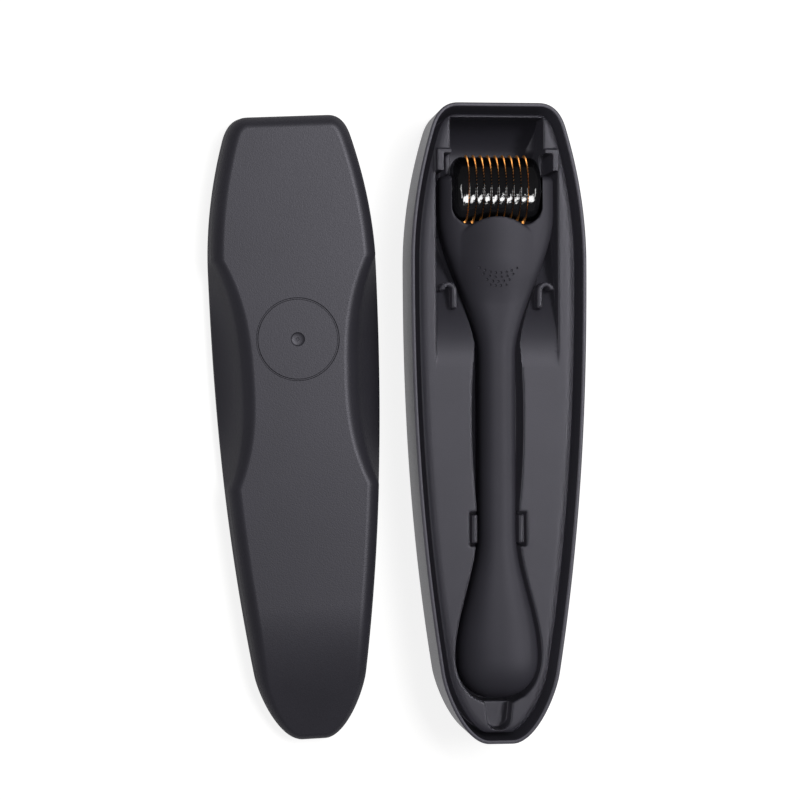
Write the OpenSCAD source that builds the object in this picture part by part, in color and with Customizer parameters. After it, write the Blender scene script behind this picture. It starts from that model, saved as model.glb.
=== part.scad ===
// Needle roller for skin care, lying in its moulded tray, with the lid set down beside the tray.
// Millimetres, +Z up, +Y toward the roller's head. Origin at the centre of the tray's base.

/* [Drum] */
// Number of toothed discs
disc_count = 9; // [7:1:11]
// Distance from one disc to the next
disc_pitch = 1.92; // [1.6:0.02:2.1]
// Thickness of a disc
disc_t = 0.2; // [0.15:0.05:0.4]
// Number of needles on a disc
needle_count = 60; // [40:1:80]
// Height of a needle above the drum
needle_len = 0.55; // [0.2:0.05:1]
// Width of a needle at its foot
needle_w = 0.34; // [0.24:0.02:0.46]
// Depth of the needles' feet below the drum's surface
needle_root = 0.25; // [0.1:0.05:0.5]
// Radius of the drum
drum_r = 8.35; // [7:0.05:10]
// Length of an end cap beyond the last disc
cap_len = 3.65; // [2.8:0.05:5]
// Straight length of an end cap beside the last disc
cap_rim = 1.2; // [0.8:0.1:1.8]
// Radius of the flat at the outer end of an end cap
cap_face_r = 5.2; // [4.8:0.1:6.4]
// Radius of the hub that carries the discs
hub_r = 4; // [3.2:0.1:4.6]
// Radius of the steel axle
axle_r = 1.25; // [1:0.05:1.6]
// Radial clearance of the hub on the axle
run_fit = 0.05; // [0.02:0.01:0.1]
// Radial clearance of seated pieces
seat_fit = 0.02; // [0.01:0.01:0.05]
// Gap between an end cap and the fork
drum_play = 0.4; // [0.3:0.05:0.8]

/* [Handle] */
// Length of the handle from the bulb's end to the fork tips
handle_len = 135.7; // [125:0.5:150]
// Distance from the axle to the fork tips
tip_len = 3.2; // [2.6:0.1:4.5]
// Rounding of the fork tips
tip_round = 1.6; // [1:0.1:2.2]
// Width of a fork arm
arm_w = 3.4; // [3:0.1:4.5]
// Wall of a fork arm outside the axle's seat
arm_skin = 1.3; // [1:0.1:1.8]
// Gap between an end of the axle and its seat
axle_play = 0.15; // [0.1:0.05:0.4]
// Thickness of the fork
fork_t = 12; // [10:0.2:13]
// Depth of the fork opening below the drum
crotch_gap = 0.6; // [0.4:0.1:2]
// Corner radius of the fork opening
crotch_r = 5; // [3:0.2:7]
// Distance of the flare's end from the axle
flare_end = 6.2; // [5:0.2:9]
// Length of the flare between neck and fork
flare_len = 38; // [30:1:42]
// Width of the neck
neck_w = 10.2; // [9.2:0.2:12]
// Thickness of the neck
neck_t = 10.4; // [9.4:0.2:11.4]
// Length of the taper between neck and bulb
bulb_taper = 32.5; // [26:0.5:40]
// Width of the bulb
bulb_w = 21.6; // [19:0.2:24]
// Thickness of the bulb
bulb_t = 14; // [12.5:0.2:15]
// Length of the bulb's round end
bulb_round = 11; // [8:0.5:14]
// Wall of the handle shells
handle_wall = 1.6; // [1.2:0.1:2]
// Radius of the thumb pad's edge
pad_r = 10.2; // [8.5:0.2:11]
// Height of the thumb pad above the fork
pad_rise = 1.4; // [0.8:0.1:1.8]
// Length over which the thumb pad rises
pad_len = 24; // [18:0.5:28]
// Width of the thumb pad across the fork
pad_w = 22; // [20:0.2:24]
// Reach of the thumb pad over the fork opening
pad_over = 2; // [1:0.1:3]
// Radius of the pins that join the handle shells
pin_r = 1.1; // [0.9:0.1:1.4]
// Length of the pins below the joint of the shells
pin_len = 2.4; // [1.6:0.1:3]
// Radial clearance of the pins
pin_fit = 0.03; // [0.01:0.01:0.05]
// Wall of the bosses that take the pins
boss_t = 1.2; // [0.9:0.1:1.6]
// Distance of the first pin from the fork opening
pin_back = 10; // [8:0.5:14]

/* [Case outline] */
// Free length beyond the drum in the head pocket
head_gap = 9.4; // [5:0.1:12]
// Edge of the plate at the head end
head_land = 0.9; // [0.7:0.1:1.5]
// Gap between the bulb and its pocket's end
tail_gap = 1.7; // [1:0.1:3]
// Length of the finger notch below the bulb
notch_len = 6.2; // [5:0.1:9]
// Edge of the plate at the tail end
tail_land = 0.7; // [0.7:0.1:1.5]
// Width of the straight edge across the head end
head_flat = 21; // [18:0.5:24]
// Length of the head corners
head_corner = 6.4; // [5.6:0.2:8]
// Distance of the head corners from the fork, to each side
head_side = 2.3; // [2:0.1:3.5]
// Growth in width from the head corners to the widest place, each side
belly = 5.3; // [4.6:0.1:7]
// Distance of the widest place from the head end
belly_y = 41.3; // [36:0.5:50]
// Width of the straight edge across the tail end
tail_flat = 5.9; // [4:0.2:8]
// Length of the tail corners
tail_corner = 18; // [15:0.5:21]
// Distance of the tail corners from the bulb, to each side
tail_side = 4.6; // [3.8:0.1:6]

/* [Tray] */
// Wall of the tray at its rim
rim_t = 1; // [0.8:0.1:1.4]
// Rounding of the rim's outer edge
rim_r = 0.3; // [0.1:0.05:0.4]
// Width of the groove between rim and liner
groove_w = 1.5; // [1.4:0.1:2]
// Thickness of the tray's floor
floor_t = 1.8; // [1.4:0.1:2.4]
// Slope of the tray's wall, from rim to base
tray_draft = 0.1; // [0:0.1:0.6]
// Rounding of the tray's base edge
base_r = 3; // [2:0.2:3.6]
// Gap between the tray's wall and the liner's skirt at the floor
skirt_gap = 0.5; // [0.3:0.1:0.8]
// Depth of the liner's plate below the rim
plate_drop = 3.8; // [3:0.1:5]

/* [Liner] */
// Wall of the liner
liner_t = 1.3; // [1:0.1:1.6]
// Width of the plate's sloping edge
edge_w = 2; // [1.4:0.1:2.2]
// Drop of the plate at its edge
edge_drop = 0.3; // [0.15:0.05:0.5]
// Free space under the drum
drum_drop = 4; // [3:0.1:5]
// Height of the plate above the axle
plate_rise = 4.7; // [4.2:0.1:5.2]
// Gap between roller and liner
bed_gap = 0.3; // [0.2:0.05:0.5]
// Gap between the roller's sides and its trough
side_gap = 0.5; // [0.4:0.05:0.8]
// Gap between the drum's ends and the head pocket
pocket_gap = 0.75; // [0.5:0.05:1]
// Gap between the fork and the sides of the ramp
ramp_gap = 0.7; // [0.5:0.05:1.2]
// Length of the ramp below the fork tips
ramp_len = 50; // [44:0.5:54]
// Length of the ramp's slope
ramp_run = 47; // [42:0.5:52]
// Length over which the ramp's slope sets in
ramp_soft = 10; // [6:0.5:14]
// Length of the ramp beyond the fork tips
ramp_past = 5.6; // [5:0.1:8]
// Height of the ramp's foot above the bed
ramp_foot = 1; // [0.6:0.1:1.6]
// Greatest width of the finger channel beside the neck
channel_gap = 1.1; // [0.8:0.1:2.2]
// Length of the finger channel
channel_len = 45; // [36:0.5:48]
// Distance of the finger channel's middle from the axle
channel_back = 59.6; // [54:0.2:64]
// Length of a neck clip
clip_len = 7.4; // [6:0.2:9]
// Thickness of a neck clip
clip_t = 1.3; // [1:0.1:1.6]
// Gap between the neck and a clip
clip_gap = 0.35; // [0.3:0.05:0.6]
// Free space around a clip in its window
clip_room = 0.7; // [0.5:0.05:1]
// Distance of the clips' windows from the axle
clip_back = 84; // [78:0.5:88]
// Thickness of the ribs
rib_t = 1.3; // [1:0.1:1.6]
// Radius of a rib's bend
rib_bend = 1.6; // [1.2:0.1:2.2]
// Length of a rib's straight leg
rib_leg = 4.6; // [3.5:0.1:6]
// Gap between the handle and a rib
rib_gap = 0.3; // [0.3:0.05:0.8]
// Distance of the ribs from the axle
rib_back = 26.6; // [22:0.2:28]
// Height of the corner hooks above the plate
hook_rise = 2.8; // [1.5:0.1:3.2]
// Width of a corner hook's leg
hook_leg = 1.7; // [1.2:0.1:2]
// Length of a corner hook's leg
hook_len = 5.6; // [4.5:0.1:5.8]
// Thickness of a corner hook's arm
hook_arm = 1.1; // [0.8:0.1:1.4]
// Width of the block below a corner hook
hook_block = 1.2; // [0.9:0.1:1.6]
// Half-width of the finger notch
notch_r = 3.1; // [2.6:0.1:3.6]
// Depth of the finger notch below the plate
notch_drop = 6; // [4.5:0.1:7]
// Width of the rest under the handle
rest_w = 8; // [6:0.5:10]
// Length of the rest under the handle
rest_len = 2.4; // [1.8:0.1:3.2]

/* [Lid] */
// Height of the lid's shell
lid_h = 10; // [9:0.5:13]
// Wall of the lid
lid_t = 1.5; // [1.2:0.1:1.8]
// Set-back of the lid's edge from the tray's edge
lid_edge = 0.6; // [0.3:0.05:0.8]
// Slope of the lid's wall, from rim to top
lid_draft = 0.9; // [0.4:0.1:1.1]
// Rounding of the lid's top edge
lid_r = 3.2; // [2.6:0.1:3.5]
// Height of the tongue that enters the tray's groove
tongue_h = 2.4; // [1.8:0.1:3]
// Clearance of the tongue in the groove
tongue_fit = 0.15; // [0.1:0.05:0.2]
// Depth of the thumb scoops
scoop_depth = 6.2; // [4:0.2:7]
// Length of the thumb scoops
scoop_len = 59.6; // [50:0.2:66]
// Distance of the scoops' middle from the lid's middle
scoop_y = 14.5; // [8:0.5:18]
// Height of the scoops' lower edge above the lid's rim
scoop_z = 2; // [1:0.2:3]
// Length of the lid's sloping tail
bow_len = 36; // [30:0.5:44]
// Drop of the lid's top at the tail end
bow_drop = 6.4; // [4:0.2:6.8]
// Radius of the ring groove on the lid
mark_r = 10.8; // [9:0.2:11.2]
// Width of the ring groove
mark_w = 0.4; // [0.3:0.05:0.6]
// Depth of the ring groove and the dimple
mark_d = 0.35; // [0.2:0.05:0.5]
// Distance of the ring groove from the lid's middle
mark_y = 23; // [18:0.5:26]
// Radius of the dimple in the ring groove's middle
dimple_r = 1.8; // [1.4:0.1:2.2]
// Radius of the pit in the dimple
pit_r = 0.45; // [0.3:0.05:0.6]
// Depth of the pit below the dimple
pit_d = 0.3; // [0.2:0.05:0.4]
// Gap between tray and lid
lid_apart = 4.6; // [4:0.1:20]
// Shift of the lid toward the head end
lid_y = -1; // [-4:0.5:4]
// Turn of the lid on the table
lid_turn = 2.4; // [0:0.1:3]

/* [Hidden] */
$fn = 64;
eps = 0.01;
past = 4;

// Shape of the curves: powers of the outline's sides, the bulb's round end and the scoops
head_pow = 1.96;
tail_pow = 2.26;
bulb_pow = 2.3;
scoop_pow = 2.5;
scoop_rise = 1.7;
// Powers of the handle's section at neck and bulb, at the fork, and of the thumb pad's
round_pow = 2.8;
fork_pow = 4;
pad_pow = 2.4;

tip_r = drum_r + needle_len;
half_stack = (disc_count - 1) * disc_pitch / 2 + disc_t / 2;
half_drum = half_stack + cap_len;
slot_w = 2 * (half_drum + drum_play);
fork_w = slot_w + 2 * arm_w;

case_len = 2 * (rim_t + groove_w) + tail_land + notch_len + tail_gap
    + handle_len - tip_len + tip_r + head_gap + head_land;
head_y = case_len / 2;
bulb_end = -head_y + rim_t + groove_w + tail_land + notch_len + tail_gap;
tip_y = bulb_end + handle_len;
axle_y = tip_y - tip_len;
bulb_y = bulb_end + bulb_round;
neck_lo = bulb_y + bulb_taper;
flare_hi = axle_y - flare_end;
flare_lo = flare_hi - flare_len;
crotch_y = axle_y - tip_r - crotch_gap;
pad_y = crotch_y + pad_over - pad_r;

bed_z = floor_t + liner_t;
axle_z = bed_z + drum_drop + tip_r;
plate_z = axle_z + plate_rise;
tray_h = plate_z + plate_drop;
trough_z = axle_z - bulb_t / 2 - bed_gap;

half_head = fork_w / 2 + head_side;
half_w = half_head + belly;
half_tail = bulb_w / 2 + tail_side;
side_hi = head_y - head_corner;
side_lo = -head_y + tail_corner;
wide_y = head_y - belly_y;
lip = rim_t + groove_w;

lid_x = -(2 * half_w + lid_apart);
tongue_out = rim_t + tongue_fit - lid_edge;
lid_in = lid_draft + lid_t;

// Case outline, half of it from the head end to the tail end

head_slope = belly * head_pow / (side_hi - wide_y);
tail_slope = (half_w - half_tail) * tail_pow / (wide_y - side_lo);
tail_lead = 0.3 * tail_corner;
tail_bend = 6.4;

function head_curve(t) =
    let (a = [head_flat / 2, head_y], c = [half_head, side_hi])
    let (b = [half_head - head_slope * head_corner, head_y])
    pow(1 - t, 2) * a + 2 * t * (1 - t) * b + t * t * c;

function side_x(y) = y > wide_y
    ? half_w - belly * pow((y - wide_y) / (side_hi - wide_y), head_pow)
    : half_w - (half_w - half_tail) * pow((wide_y - y) / (wide_y - side_lo), tail_pow);

function tail_curve(t) =
    let (a = [half_tail, side_lo], d = [tail_flat / 2, -head_y])
    let (b = a - tail_lead * [tail_slope, 1], c = d + [tail_bend, 0])
    pow(1 - t, 3) * a + 3 * t * pow(1 - t, 2) * b + 3 * t * t * (1 - t) * c + pow(t, 3) * d;

head_steps = 6;
side_steps = 44;
tail_steps = 10;
half_case = concat(
    [for (i = [0:head_steps - 1]) head_curve(i / head_steps)],
    [for (i = [0:side_steps - 1]) let (y = side_hi - (side_hi - side_lo) * i / side_steps) [side_x(y), y]],
    [for (i = [0:tail_steps]) tail_curve(i / tail_steps)]);

function both(half) = concat(
    [for (i = [len(half) - 1:-1:0]) half[i]],
    [for (p = half) [-p[0], p[1]]]);

case_ring = both(half_case);
ring_size = len(case_ring);
case_inward = [for (i = [0:ring_size - 1])
    let (d = case_ring[(i + 1) % ring_size] - case_ring[(i + ring_size - 1) % ring_size])
    [-d[1], d[0]] / norm(d)];

function ring_at(e) = case_ring + e * case_inward;
function at_z(ring, z) = [for (p = ring) [p[0], p[1], z]];

// Handle outline: half-width and half-thickness along the handle

function smooth(t) = let (u = max(0, min(1, t))) u * u * (3 - 2 * u);
function dome(u, n) = pow(max(0, 1 - pow(u, n)), 1 / n);
function tip_cut(y) =
    let (u = max(0, y - tip_y + tip_round) / tip_round)
    tip_round * (1 - sqrt(max(0, 1 - 0.9 * u * u)));
function blend(y, bulb, neck, fork) = y < bulb_y
    ? bulb * dome((bulb_y - y) / bulb_round, bulb_pow)
    : neck + (bulb - neck) * smooth((neck_lo - y) / bulb_taper)
        + (fork - neck) * smooth((y - flare_lo) / flare_len) - tip_cut(y);
function handle_a(y) = blend(y, bulb_w / 2, neck_w / 2, fork_w / 2);
function handle_b(y) = blend(y, bulb_t / 2, neck_t / 2, fork_t / 2);

function power(c, n) = sign(c) * pow(abs(c), 2 / n);
section_steps = 28;
function section(y, n, a, low, high) =
    [for (i = [0:section_steps - 1]) let (f = 360 * i / section_steps)
        [a * power(cos(f), n), y, axle_z - (sin(f) > 0 ? low : high) * power(sin(f), n)]];
function handle_pow(y) = round_pow + (fork_pow - round_pow) * smooth((y - flare_lo) / flare_len);
function handle_ring(y, wall) =
    section(y, handle_pow(y), handle_a(y) - wall, handle_b(y) - wall, handle_b(y) - wall);

body_steps = 24;
outer_y = concat(
    [for (f = [14:15.2:90]) bulb_y - bulb_round * cos(f)],
    [for (i = [1:body_steps]) bulb_y + (tip_y - tip_round - bulb_y) * i / body_steps],
    [for (i = [1:4]) tip_y - tip_round + tip_round * sin(22.5 * i)]);
hollow_lo = bulb_y - bulb_round + 2 * handle_wall;
hollow_hi = crotch_y - 2 * handle_wall;
hollow_steps = 22;
hollow_y = [for (i = [0:hollow_steps]) hollow_lo + (hollow_hi - hollow_lo) * i / hollow_steps];

// A closed solid through a row of rings; strips across the first and the last ring close its ends

module skin(rings) {
    n = len(rings[0]);
    m = len(rings);
    last = (m - 1) * n;
    polyhedron(
        points = [for (r = rings) each r],
        faces = concat(
            [for (j = [0:n / 2 - 2]) each [[j, j + 1, n - 2 - j], [j, n - 2 - j, n - 1 - j]]],
            [for (i = [0:m - 2]) for (j = [0:n - 1]) let (a = i * n, b = a + n, k = (j + 1) % n)
                each [[a + j, b + j, b + k], [a + j, b + k, a + k]]],
            [for (j = [0:n / 2 - 2]) each [[last + j, last + n - 2 - j, last + j + 1],
                [last + j, last + n - 1 - j, last + n - 2 - j]]]));
}

module prism(points, z0, z1) {
    translate([0, 0, z0]) linear_extrude(z1 - z0) polygon(points);
}

module side_prism(points, half) {
    rotate([90, 0, 90]) translate([0, 0, -half]) linear_extrude(2 * half) polygon(points);
}

module block(x0, x1, y0, y1, z0, z1) {
    translate([x0, y0, z0]) cube([x1 - x0, y1 - y0, z1 - z0]);
}

module sides() {
    children();
    mirror([1, 0, 0]) children();
}

module on_axle(x) {
    translate([x, axle_y, axle_z]) rotate([0, 90, 0]) children();
}

// Tray

module tray_shell() {
    base = [for (f = [0:18:90]) [tray_draft + base_r * (1 - sin(f)), base_r * (1 - cos(f))]];
    wall = [[0, tray_h - rim_r], [rim_r, tray_h], [rim_t, tray_h], [rim_t, plate_z]];
    inside = [[lip - skirt_gap, floor_t + 1], [lip - skirt_gap / 2, floor_t]];
    color([0.3, 0.3, 0.32]) skin([for (p = concat(base, wall, inside)) at_z(ring_at(p[0]), p[1])]);
}

// Liner: plate and skirt, with a trough for the roller. Each room grows by g for the wall around it.

trough_steps = 44;
pocket_turn = 50;
notch_x = notch_r + 0.4;
notch_y = -head_y + lip + tail_land + notch_r;
notch_top = bulb_end - tail_gap / 2;
function pocket(f, g) = [
    (bulb_w / 2 + side_gap + g) * sin(f),
    bulb_y - (bulb_round + tail_gap + g) * cos(f)];
function trough(g) = both(concat(
    [for (i = [0:trough_steps]) let (y = flare_hi + (bulb_y - flare_hi) * i / trough_steps)
        [handle_a(y) + side_gap + g, y]],
    [for (f = [82:-8:pocket_turn]) pocket(f, g)],
    [pocket(pocket_turn - 12, g)],
    [[notch_x + g, notch_top - g]]));

channel_y = axle_y - channel_back;
channel_steps = 24;
function channel(g) = both(
    [for (i = [0:channel_steps]) let (t = 1 - 2 * i / channel_steps)
        [neck_w / 2 + side_gap + channel_gap * (1 - t * t) + g, channel_y + t * channel_len / 2]]);

function notch(g) = both(concat(
    [[notch_x + g, bulb_end + past], [notch_x + g, notch_top]],
    [for (f = [0:9:81]) [(notch_r + g) * cos(f), notch_y - (notch_r + g) * sin(f)]]));

ramp_hi = tip_y + ramp_past;
ramp_lo = tip_y - ramp_len;
ramp_end = bed_z + ramp_foot;
ramp_steps = 24;
ramp_lead = 3.5;
ramp_tilt = (plate_z - ramp_end) / (ramp_run - ramp_soft / 2);
function ramp_z(d) = plate_z - ramp_tilt * (d < ramp_soft ? d * d / (2 * ramp_soft) : d - ramp_soft / 2);
function ramp(g) = concat(
    [[ramp_lo - ramp_lead * g, plate_z + past], [ramp_lo - ramp_lead * g, plate_z - g + eps]],
    [for (i = [0:ramp_steps]) let (d = ramp_run * i / ramp_steps) [ramp_lo + d, ramp_z(d) - g]],
    [[ramp_hi + g, ramp_end - g], [ramp_hi + g, plate_z + past]]);

module ramp_room(g) {
    intersection() {
        side_prism(ramp(g), fork_w / 2 + ramp_gap + g);
        prism(ring_at(lip + head_land - g / 2), floor_t - 1, plate_z + past);
    }
}

clip_x = neck_w / 2 + clip_gap;
window_hi = axle_y - clip_back;
window_lo = window_hi - clip_len - 2 * clip_room;

module rooms(g, top) {
    pocket_x = half_drum + pocket_gap + g;
    window_x = clip_x + clip_t + clip_room + g;
    prism(trough(g), trough_z - g, top);
    prism(channel(g), trough_z - g, top);
    prism(notch(g), plate_z - notch_drop - g, top);
    ramp_room(g);
    block(-pocket_x, pocket_x, axle_y - tip_r / 2 - g, axle_y + tip_r + head_gap + g, bed_z - g, top);
    block(-window_x, window_x, window_lo - g, window_hi + g, trough_z - g, top);
}

rib_y = axle_y - rib_back;
rib_x = handle_a(rib_y + rib_bend) + rib_gap + rib_t / 2;

module rib() {
    rise = plate_z - bed_z;
    intersection() {
        union() {
            translate([rib_x + rib_bend, rib_y, bed_z]) difference() {
                cylinder(r = rib_bend + rib_t / 2, h = rise);
                translate([0, 0, -1]) cylinder(r = rib_bend - rib_t / 2, h = rise + 2);
                block(-fork_w, fork_w, -fork_w, 0, -1, rise + 1);
            }
            block(rib_x - rib_t / 2, rib_x + rib_t / 2, rib_y - rib_leg, rib_y + eps, bed_z, plate_z);
        }
        side_prism(ramp(liner_t / 2), fork_w);
    }
}

module hook() {
    hook_x = fork_w / 2 + ramp_gap - eps;
    block_x = half_drum + pocket_gap;
    hook_y = ramp_hi + hook_arm;
    z0 = ramp_end - liner_t / 2;
    z1 = plate_z + hook_rise;
    block(hook_x - hook_leg, hook_x, hook_y - hook_len, hook_y, z0, z1);
    block(block_x, hook_x, ramp_hi - eps, hook_y, z0, z1);
    block(block_x - hook_block / 2, block_x + hook_block / 2, tip_y + 2 * bed_gap, ramp_hi + eps, z0, axle_z);
}

module clip() {
    block(clip_x, clip_x + clip_t, window_lo + clip_room, window_hi - clip_room,
        trough_z - liner_t / 2, plate_z);
}

module rest() {
    y1 = crotch_y - handle_wall * 4;
    z1 = axle_z - handle_b(y1) - bed_gap;
    block(-rest_w / 2, rest_w / 2, y1 - rest_len, y1, trough_z - liner_t / 2, z1);
}

module plate_block() {
    edge_z = plate_z - edge_drop;
    slope = [[0, floor_t], [0, edge_z - edge_drop / 2], [edge_drop / 2, edge_z],
        [edge_w / 2, plate_z - edge_drop / 4], [edge_w, plate_z]];
    skin([for (p = slope) at_z(ring_at(lip + p[0]), p[1])]);
}

module tray_liner() {
    color([0.33, 0.33, 0.35]) union() {
        difference() {
            plate_block();
            difference() {
                prism(ring_at(lip + liner_t), floor_t - 1, plate_z - liner_t);
                rooms(liner_t, plate_z + past);
            }
            rooms(0, plate_z + past);
        }
        sides() {
            rib();
            hook();
            clip();
        }
        rest();
    }
}

// Lid, modelled in place: the tongue's lower edge stands on the table

bow_y = -head_y + bow_len;
bow_bend = 0.6;
function bow(y) =
    let (u = max(0, (bow_y - y) / bow_len))
    bow_drop * (u < bow_bend ? u * u / (2 * bow_bend) : u - bow_bend / 2) / (1 - bow_bend / 2);
function scoop(y) = scoop_depth * max(0, 1 - pow(abs(y - scoop_y) / (scoop_len / 2), scoop_pow));
function scoop_in(z) =
    let (u = max(0, min(1, (z - scoop_z) / (lid_h - scoop_z))))
    1 - pow(1 - u, scoop_rise);
// Share of the height that the sloping tail leaves; the outside draws in by the same share
function lid_share(p, top) = 1 - bow(p[1]) / top;
function lid_point(i, e, share) = case_ring[i] + (lid_edge + e * share) * case_inward[i];
function settle(i, e, top, share, turns) = turns == 0
    ? share
    : settle(i, e, top, lid_share(lid_point(i, e, share), top), turns - 1);
function lid_ring(e, z, top, drawn) =
    [for (i = [0:ring_size - 1])
        let (share = drawn ? settle(i, e, top, 1, 8) : 1)
        let (p = lid_point(i, e, share))
        [p[0] - sign(p[0]) * scoop(p[1]) * scoop_in(z), p[1], z > 0 ? z * lid_share(p, top) : z]];

module lid_marks() {
    translate([0, mark_y, lid_h - mark_d]) {
        difference() {
            cylinder(r = mark_r, h = 1);
            translate([0, 0, -1]) cylinder(r = mark_r - mark_w, h = 3);
        }
        cylinder(r = dimple_r, h = 1);
        translate([0, 0, -pit_d]) cylinder(r = pit_r, h = 1);
    }
}

module lid_shell() {
    inner_h = lid_h - lid_t;
    wall_steps = 5;
    bend = lid_r - lid_t;
    inside = concat([for (f = [90:-30:0]) [lid_in + bend * (1 - cos(f)), inner_h - bend * (1 - sin(f))]],
        [for (i = [wall_steps - 1:-1:0]) [lid_in, scoop_z + (inner_h - bend - scoop_z) * i / wall_steps]]);
    edge = [[lid_in, -tongue_h], [tongue_out, -tongue_h], [tongue_out, 0], [rim_r / 2, 0], [0, rim_r]];
    wall = [for (i = [0:wall_steps]) scoop_z + (lid_h - lid_r - scoop_z) * i / wall_steps];
    round_e = lid_draft * (lid_h - lid_r) / lid_h;
    outside = concat([for (z = wall) [lid_draft * z / lid_h, z]],
        [for (f = [18:18:90]) [round_e + lid_r * (1 - cos(f)), lid_h - lid_r + lid_r * sin(f)]]);
    color([0.3, 0.3, 0.32]) translate([lid_x, lid_y, tongue_h]) rotate(lid_turn) difference() {
        skin(concat(
            [for (p = concat(inside, edge)) lid_ring(p[0], p[1], inner_h, false)],
            [for (p = outside) lid_ring(p[0], p[1], lid_h, true)]));
        lid_marks();
    }
}

// Handle: two shells, split at the axle's height

module slot() {
    half = slot_w / 2;
    arc = [for (f = [0:-10:-90]) [half - crotch_r * (1 - cos(f)), crotch_y + crotch_r * (1 + sin(f))]];
    prism(both(concat([[half, tip_y + past]], arc)), axle_z - fork_w, axle_z + fork_w);
}

// Outline of an end cap, from the last disc to its outer end
function cap_edge(g) = [for (f = [0:15:90]) [
    cap_face_r + (drum_r - cap_face_r) * cos(f) + g,
    half_stack + cap_rim + (cap_len - cap_rim) * sin(f) + g]];

module drum_room() {
    on_axle(0) sides_along() rotate_extrude()
        polygon(concat([[0, -eps], [tip_r + drum_play, -eps]],
            [[tip_r + drum_play, half_stack + cap_rim]], cap_edge(drum_play), [[0, slot_w / 2]]));
}

module sides_along() {
    children();
    mirror([0, 0, 1]) children();
}

module half_space(up) {
    size = case_len;
    translate([-size / 2, -size / 2, up ? axle_z : axle_z - size]) cube(size);
}

module handle_body(up) {
    difference() {
        skin([for (y = outer_y) handle_ring(y, 0)]);
        skin([for (y = hollow_y) handle_ring(y, handle_wall)]);
        half_space(!up);
    }
}

module axle_seat() {
    on_axle(0) cylinder(r = axle_r + seat_fit, h = fork_w - 2 * arm_skin, center = true);
}

pin_ys = [bulb_y, (neck_lo + flare_lo) / 2, crotch_y - pin_back];

// The pad swells out of the handle's upper side and ends in an arched step above the fork
pad_lo = pad_y + pad_r - pad_len;
pad_steps = 16;
pad_skin = 0.12;
function pad_ring(y) =
    let (high = handle_b(y) - pad_skin + pad_rise * smooth((y - pad_lo) / (pad_len - pad_r)))
    section(y, pad_pow, min(handle_a(y) - pad_skin, pad_w / 2), handle_wall, high);

module pad() {
    arch = [for (f = [0:9:81]) [pad_r * cos(f), pad_y + pad_r * sin(f)]];
    intersection() {
        skin([for (i = [0:pad_steps]) pad_ring(pad_lo + (pad_len + eps) * i / pad_steps)]);
        union() {
            prism(both(concat([for (i = [len(arch) - 1:-1:0]) arch[i]], [[pad_r, pad_y - eps]])),
                axle_z + handle_b(pad_y) / 2, axle_z + fork_w);
            block(-fork_w, fork_w, pad_lo, pad_y, axle_z + handle_b(pad_y) / 2, axle_z + fork_w);
        }
    }
}

module handle_front() {
    color([0.2, 0.2, 0.22]) difference() {
        union() {
            difference() {
                handle_body(true);
                slot();
            }
            for (y = pin_ys) translate([0, y, axle_z - pin_len])
                cylinder(r = pin_r, h = pin_len + handle_b(y) - handle_wall / 2);
            pad();
        }
        drum_room();
        axle_seat();
    }
}

module handle_back() {
    color([0.2, 0.2, 0.22]) difference() {
        union() {
            difference() {
                handle_body(false);
                slot();
            }
            for (y = pin_ys) translate([0, y, axle_z - handle_b(y) + handle_wall / 2])
                cylinder(r = pin_r + boss_t, h = handle_b(y) - handle_wall / 2);
        }
        for (y = pin_ys) translate([0, y, axle_z - pin_len - bed_gap])
            cylinder(r = pin_r + pin_fit, h = pin_len + 1);
        drum_room();
        axle_seat();
    }
}

module axle_pin() {
    color([0.75, 0.76, 0.78]) on_axle(0)
        cylinder(r = axle_r, h = fork_w - 2 * (arm_skin + axle_play), center = true);
}

// Drum, on the axle's line along X

module tube(r_out, r_in, h) {
    difference() {
        cylinder(r = r_out, h = h, center = true);
        cylinder(r = r_in, h = h + 1, center = true);
    }
}

hub_half = half_stack + cap_len / 2;

module drum_hub() {
    color([0.12, 0.12, 0.13]) on_axle(0) tube(hub_r, axle_r + run_fit, 2 * hub_half);
}

function disc_x(i) = (i - (disc_count + 1) / 2) * disc_pitch;

module needle_disc(i) {
    root_r = drum_r - needle_root;
    half_foot = asin(needle_w / 2 / root_r);
    teeth = [for (k = [0:needle_count - 1]) let (f = 360 * k / needle_count) each [
        root_r * [cos(f - half_foot), sin(f - half_foot)],
        tip_r * [cos(f), sin(f)],
        root_r * [cos(f + half_foot), sin(f + half_foot)]]];
    color([0.83, 0.62, 0.27]) on_axle(disc_x(i)) difference() {
        translate([0, 0, -disc_t / 2]) linear_extrude(disc_t) polygon(teeth);
        cylinder(r = hub_r + seat_fit, h = disc_t + 1, center = true);
    }
}

module spacer_ring(i) {
    color([0.1, 0.1, 0.11]) on_axle((disc_x(i) + disc_x(i + 1)) / 2)
        tube(drum_r, hub_r + seat_fit, disc_pitch - disc_t);
}

module end_cap(side) {
    seat = hub_half + seat_fit;
    color([0.1, 0.1, 0.11]) on_axle(0) mirror([0, 0, side > 0 ? 0 : 1]) rotate_extrude() polygon(concat(
        [[hub_r + seat_fit, half_stack], [drum_r, half_stack]], cap_edge(0),
        [[axle_r + run_fit, half_drum], [axle_r + run_fit, seat], [hub_r + seat_fit, seat]]));
}

tray_shell();
tray_liner();
lid_shell();
handle_front();
handle_back();
axle_pin();
drum_hub();
for (i = [1:disc_count]) needle_disc(i);
for (i = [1:disc_count - 1]) spacer_ring(i);
end_cap(-1);  // end_cap_left
end_cap(1);  // end_cap_right
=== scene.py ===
import bpy
import bmesh
import math
from mathutils import Matrix, Vector


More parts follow.
